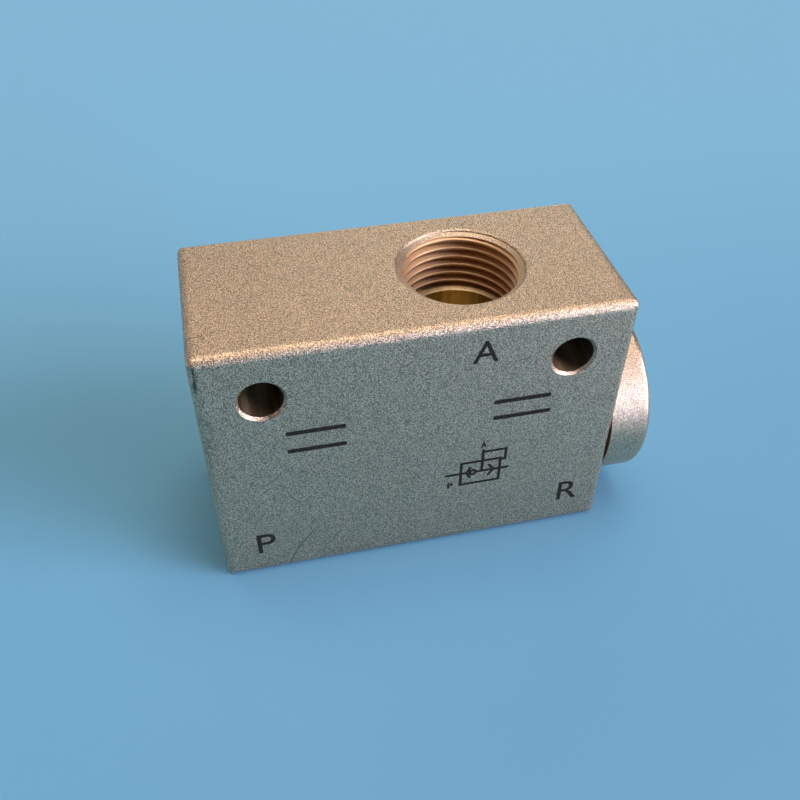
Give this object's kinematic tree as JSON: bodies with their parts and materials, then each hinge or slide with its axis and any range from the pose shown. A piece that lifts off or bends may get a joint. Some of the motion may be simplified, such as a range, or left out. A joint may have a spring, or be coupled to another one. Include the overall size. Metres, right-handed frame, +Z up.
{
  "type": "quick exhaust valve",
  "caption": "Blasted metal block valve with threaded supply, cylinder and exhaust ports, cross holes for mounting, and a free rubber shuttle that vents the cylinder port quickly.",
  "frame": {"origin": "middle of the block's underside", "axes": "+X along the block towards the exhaust cap, +Z up through the cylinder port, the lettered face looks along -Y"},
  "size_m": [0.062, 0.025, 0.0405],
  "materials": {
    "block_metal": "bead-blasted champagne coating",
    "cap_metal": "turned and blasted champagne coating",
    "seal_rubber": "smooth moulded black rubber",
    "shuttle_rubber": "matt moulded black rubber"
  },
  "bodies": {
    "valve": {"body": "block_metal", "exhaust_cap": "cap_metal", "seal_ring": "seal_rubber"},
    "shuttle": {"shuttle": "shuttle_rubber"}
  },
  "joints": [
    {"name": "shuttle_slide", "type": "slide", "parent": "valve", "child": "shuttle", "axis": [1, 0, 0], "range_m": [0, 0.003]}
  ]
}
